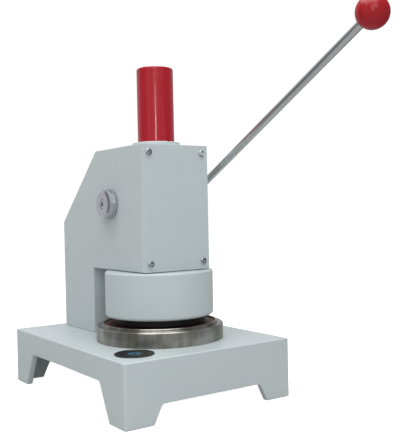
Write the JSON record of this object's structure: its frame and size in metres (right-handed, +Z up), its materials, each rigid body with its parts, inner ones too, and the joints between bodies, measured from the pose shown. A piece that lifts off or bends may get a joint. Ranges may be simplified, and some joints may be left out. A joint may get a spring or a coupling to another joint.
{
  "type": "round sample cutter press",
  "caption": "Lever-operated bench press with a rack ram and a ring blade that cuts round samples of sheet material on a padded anvil.",
  "frame": {"origin": "on the bench plane, under the middle of the whole outline with the lever up: X 0 is the press's middle plane, and the press axis is 68 mm behind the origin", "axes": "+X to the operator's right, -Y to the operator, +Z up along the press axis"},
  "size_m": [0.255, 0.5641, 0.4824],
  "materials": {
    "cast_paint": "satin light grey paint over a smooth casting",
    "screw_nickel": "bright nickel plate",
    "cap_nickel": "turned and nickel plated",
    "black_steel": "black oxide steel",
    "anvil_steel": "turned and ground steel",
    "pad_plastic": "dull red-brown hard plastic",
    "bronze": "turned bronze",
    "black_rubber": "black foam rubber",
    "tube_red": "glossy red paint",
    "spring_steel": "spring steel wire",
    "ground_steel": "ground steel, lightly oiled",
    "rod_steel": "drawn and polished steel",
    "ball_red": "glossy red thermoset plastic",
    "blade_steel": "hardened and ground tool steel",
    "presser_black": "black finished steel",
    "plate_aluminium": "turned aluminium",
    "badge_black": "dark enamel disc with a plain blue ring"
  },
  "bodies": {
    "frame": {"base": "cast_paint", "column_casting": "cast_paint", "front_cover": "cast_paint", "cover_screws": "screw_nickel", "column_bolts": "black_steel", "badge": "badge_black", "anvil": "anvil_steel", "cutting_pad": "pad_plastic", "anvil_bolts": "black_steel", "drum": "cast_paint", "drum_bolts": "black_steel", "lower_guide_bush": "bronze", "upper_guide_bush": "bronze", "ram_buffer": "black_rubber", "spring_tube": "tube_red", "tube_collar": "cast_paint", "collar_screws": "black_steel", "return_spring": "spring_steel", "shaft_bush_left": "bronze", "shaft_bush_right": "bronze", "thrust_washers": "ground_steel"},
    "lever": {"lever_shaft": "ground_steel", "pinion": "black_steel", "pinion_key": "ground_steel", "hub_cap": "cap_nickel", "hub_screw": "cap_nickel", "lever_boss": "ground_steel", "boss_pin": "black_steel", "lever_rod": "rod_steel", "ball_knob": "ball_red"},
    "ram": {"ram": "ground_steel", "spring_seat": "ground_steel", "seat_nut": "black_steel", "blade_carrier": "ground_steel", "carrier_bolt": "black_steel", "ring_blade": "blade_steel", "blade_screws": "black_steel"},
    "presser": {"presser_ring": "presser_black", "presser_screws": "ground_steel", "presser_springs": "spring_steel", "ejector_plate": "plate_aluminium", "ejector_pad": "black_rubber", "ejector_pins": "ground_steel", "ejector_springs": "spring_steel"}
  },
  "joints": [
    {"name": "lever_swing", "type": "hinge", "parent": "frame", "child": "lever", "pos_m": [0, 0.1068, 0.266], "axis": [1, 0, 0], "range_deg": [0, 36.4]},
    {"name": "ram_slide", "type": "slide", "parent": "frame", "child": "ram", "axis": [0, 0, -1], "range_m": [0, 0.014], "stiffness_N_per_m": 4000, "springref_m": -0.03, "deforming": ["return_spring", "presser_springs", "ejector_springs"]},
    {"name": "presser_slide", "type": "slide", "parent": "frame", "child": "presser", "axis": [0, 0, -1], "range_m": [0, 0.0018]}
  ],
  "couplings": [
    {"joint": "ram_slide", "follows": "lever_swing", "m_per_rad": 0.022},
    {"joint": "presser_slide", "follows": "lever_swing", "m_per_rad": 0.002833}
  ]
}
